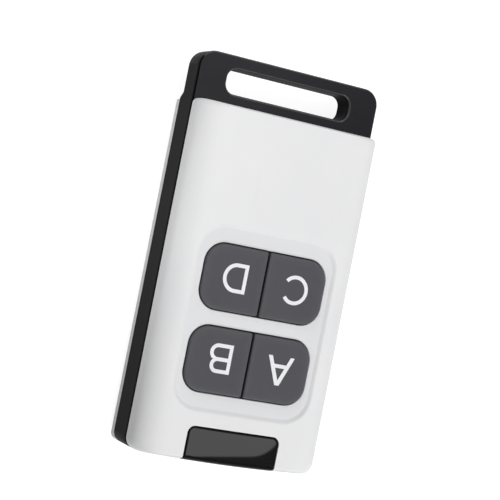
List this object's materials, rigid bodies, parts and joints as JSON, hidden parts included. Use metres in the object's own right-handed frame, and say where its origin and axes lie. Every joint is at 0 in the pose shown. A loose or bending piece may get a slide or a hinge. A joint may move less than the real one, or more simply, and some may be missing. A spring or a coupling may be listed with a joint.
{
  "type": "key fob remote control",
  "caption": "Flat pocket radio remote: white shells on a black frame with a lanyard slot, sprung keys in two split pairs and a glossy status window at one end.",
  "frame": {"origin": "middle of the length and width, on the flat rear face", "axes": "+X across the remote, +Y along it from the lanyard handle to the status window, +Z out of the key face"},
  "size_m": [0.036, 0.0716, 0.0147],
  "materials": {
    "black_plastic": "satin moulded black plastic",
    "white_plastic": "satin moulded white plastic",
    "window_plastic": "polished black window plastic",
    "key_plastic": "matte dark grey moulding with white printed mark",
    "clear_plastic": "clear acrylic",
    "board_laminate": "green solder mask on glass laminate",
    "cell_steel": "nickel plated steel can",
    "nickel_strip": "nickel plated spring strip",
    "shield_steel": "tinned steel",
    "spring_steel": "stainless spring steel",
    "screw_steel": "zinc plated steel",
    "black_nylon": "black moulded nylon",
    "plunger_plastic": "natural moulded plastic",
    "chip_resin": "black moulding resin",
    "chip_ceramic": "tan ceramic with tinned ends",
    "chip_ceramic_dark": "dark ceramic with tinned ends",
    "led_resin": "clear resin on a white base"
  },
  "bodies": {
    "case": {"middle_frame": "black_plastic", "front_cover": "white_plastic", "rear_cover": "white_plastic", "window": "window_plastic", "light_guide": "clear_plastic", "circuit_board": "board_laminate", "coin_cell": "cell_steel", "battery_holder": "black_nylon", "contact_negative": "nickel_strip", "contact_positive": "nickel_strip", "radio_module": "board_laminate", "radio_shield": "shield_steel", "microcontroller": "chip_resin", "crystal": "shield_steel", "cover_screws": "screw_steel", "board_screws": "screw_steel", "switch_housing_a": "black_nylon", "switch_dome_a": "spring_steel", "switch_housing_b": "black_nylon", "switch_dome_b": "spring_steel", "switch_housing_c": "black_nylon", "switch_dome_c": "spring_steel", "switch_housing_d": "black_nylon", "switch_dome_d": "spring_steel", "chip_capacitor_1": "chip_ceramic", "chip_resistor_1": "chip_ceramic_dark", "chip_capacitor_2": "chip_ceramic", "chip_resistor_2": "chip_ceramic_dark", "chip_capacitor_3": "chip_ceramic", "chip_resistor_3": "chip_ceramic_dark", "chip_capacitor_4": "chip_ceramic", "chip_resistor_4": "chip_ceramic_dark", "status_led_1": "led_resin", "status_led_2": "led_resin"},
    "key_a": {"key_a": "key_plastic", "switch_plunger_a": "plunger_plastic"},
    "key_b": {"key_b": "key_plastic", "switch_plunger_b": "plunger_plastic"},
    "key_c": {"key_c": "key_plastic", "switch_plunger_c": "plunger_plastic"},
    "key_d": {"key_d": "key_plastic", "switch_plunger_d": "plunger_plastic"}
  },
  "joints": [
    {"name": "key_a_press", "type": "slide", "parent": "case", "child": "key_a", "axis": [0, 0, -1], "range_m": [0, 0.0003], "stiffness_N_per_m": 500, "springref_m": -0.0002, "deforming": ["switch_dome_a"]},
    {"name": "key_b_press", "type": "slide", "parent": "case", "child": "key_b", "axis": [0, 0, -1], "range_m": [0, 0.0003], "stiffness_N_per_m": 500, "springref_m": -0.0002, "deforming": ["switch_dome_b"]},
    {"name": "key_c_press", "type": "slide", "parent": "case", "child": "key_c", "axis": [0, 0, -1], "range_m": [0, 0.0003], "stiffness_N_per_m": 500, "springref_m": -0.0002, "deforming": ["switch_dome_c"]},
    {"name": "key_d_press", "type": "slide", "parent": "case", "child": "key_d", "axis": [0, 0, -1], "range_m": [0, 0.0003], "stiffness_N_per_m": 500, "springref_m": -0.0002, "deforming": ["switch_dome_d"]}
  ]
}
